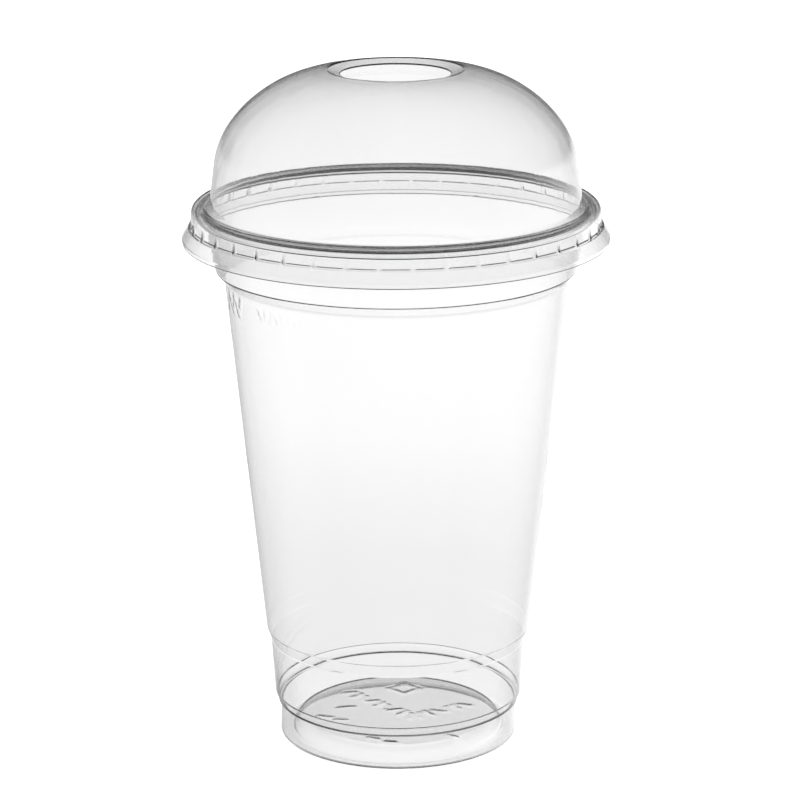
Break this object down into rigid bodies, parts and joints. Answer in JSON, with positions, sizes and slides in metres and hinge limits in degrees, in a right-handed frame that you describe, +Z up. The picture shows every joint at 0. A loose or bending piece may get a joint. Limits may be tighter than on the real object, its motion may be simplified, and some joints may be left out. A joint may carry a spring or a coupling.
{
  "type": "cup with dome lid",
  "caption": "Clear thermoformed cold-drink cup with a rolled rim, stacking shoulders and a raised floor, closed by a dome lid that snaps over the rim and has a straw hole.",
  "frame": {"origin": "centre of the cup's contact ring, on the surface that the cup stands on", "axes": "+Z up along the cup's axis; +X and +Y are alike, and one snap lug of the lid is centred on +X"},
  "size_m": [0.1046, 0.1046, 0.1691],
  "materials": {
    "cup_pet": "clear, polished",
    "lid_pet": "clear, polished"
  },
  "bodies": {
    "cup": {"cup": "cup_pet"},
    "lid": {"lid": "lid_pet"}
  },
  "joints": [
    {"name": "lid_lift", "type": "slide", "parent": "cup", "child": "lid", "axis": [0, 0, 1], "range_m": [0, 0.03]}
  ]
}
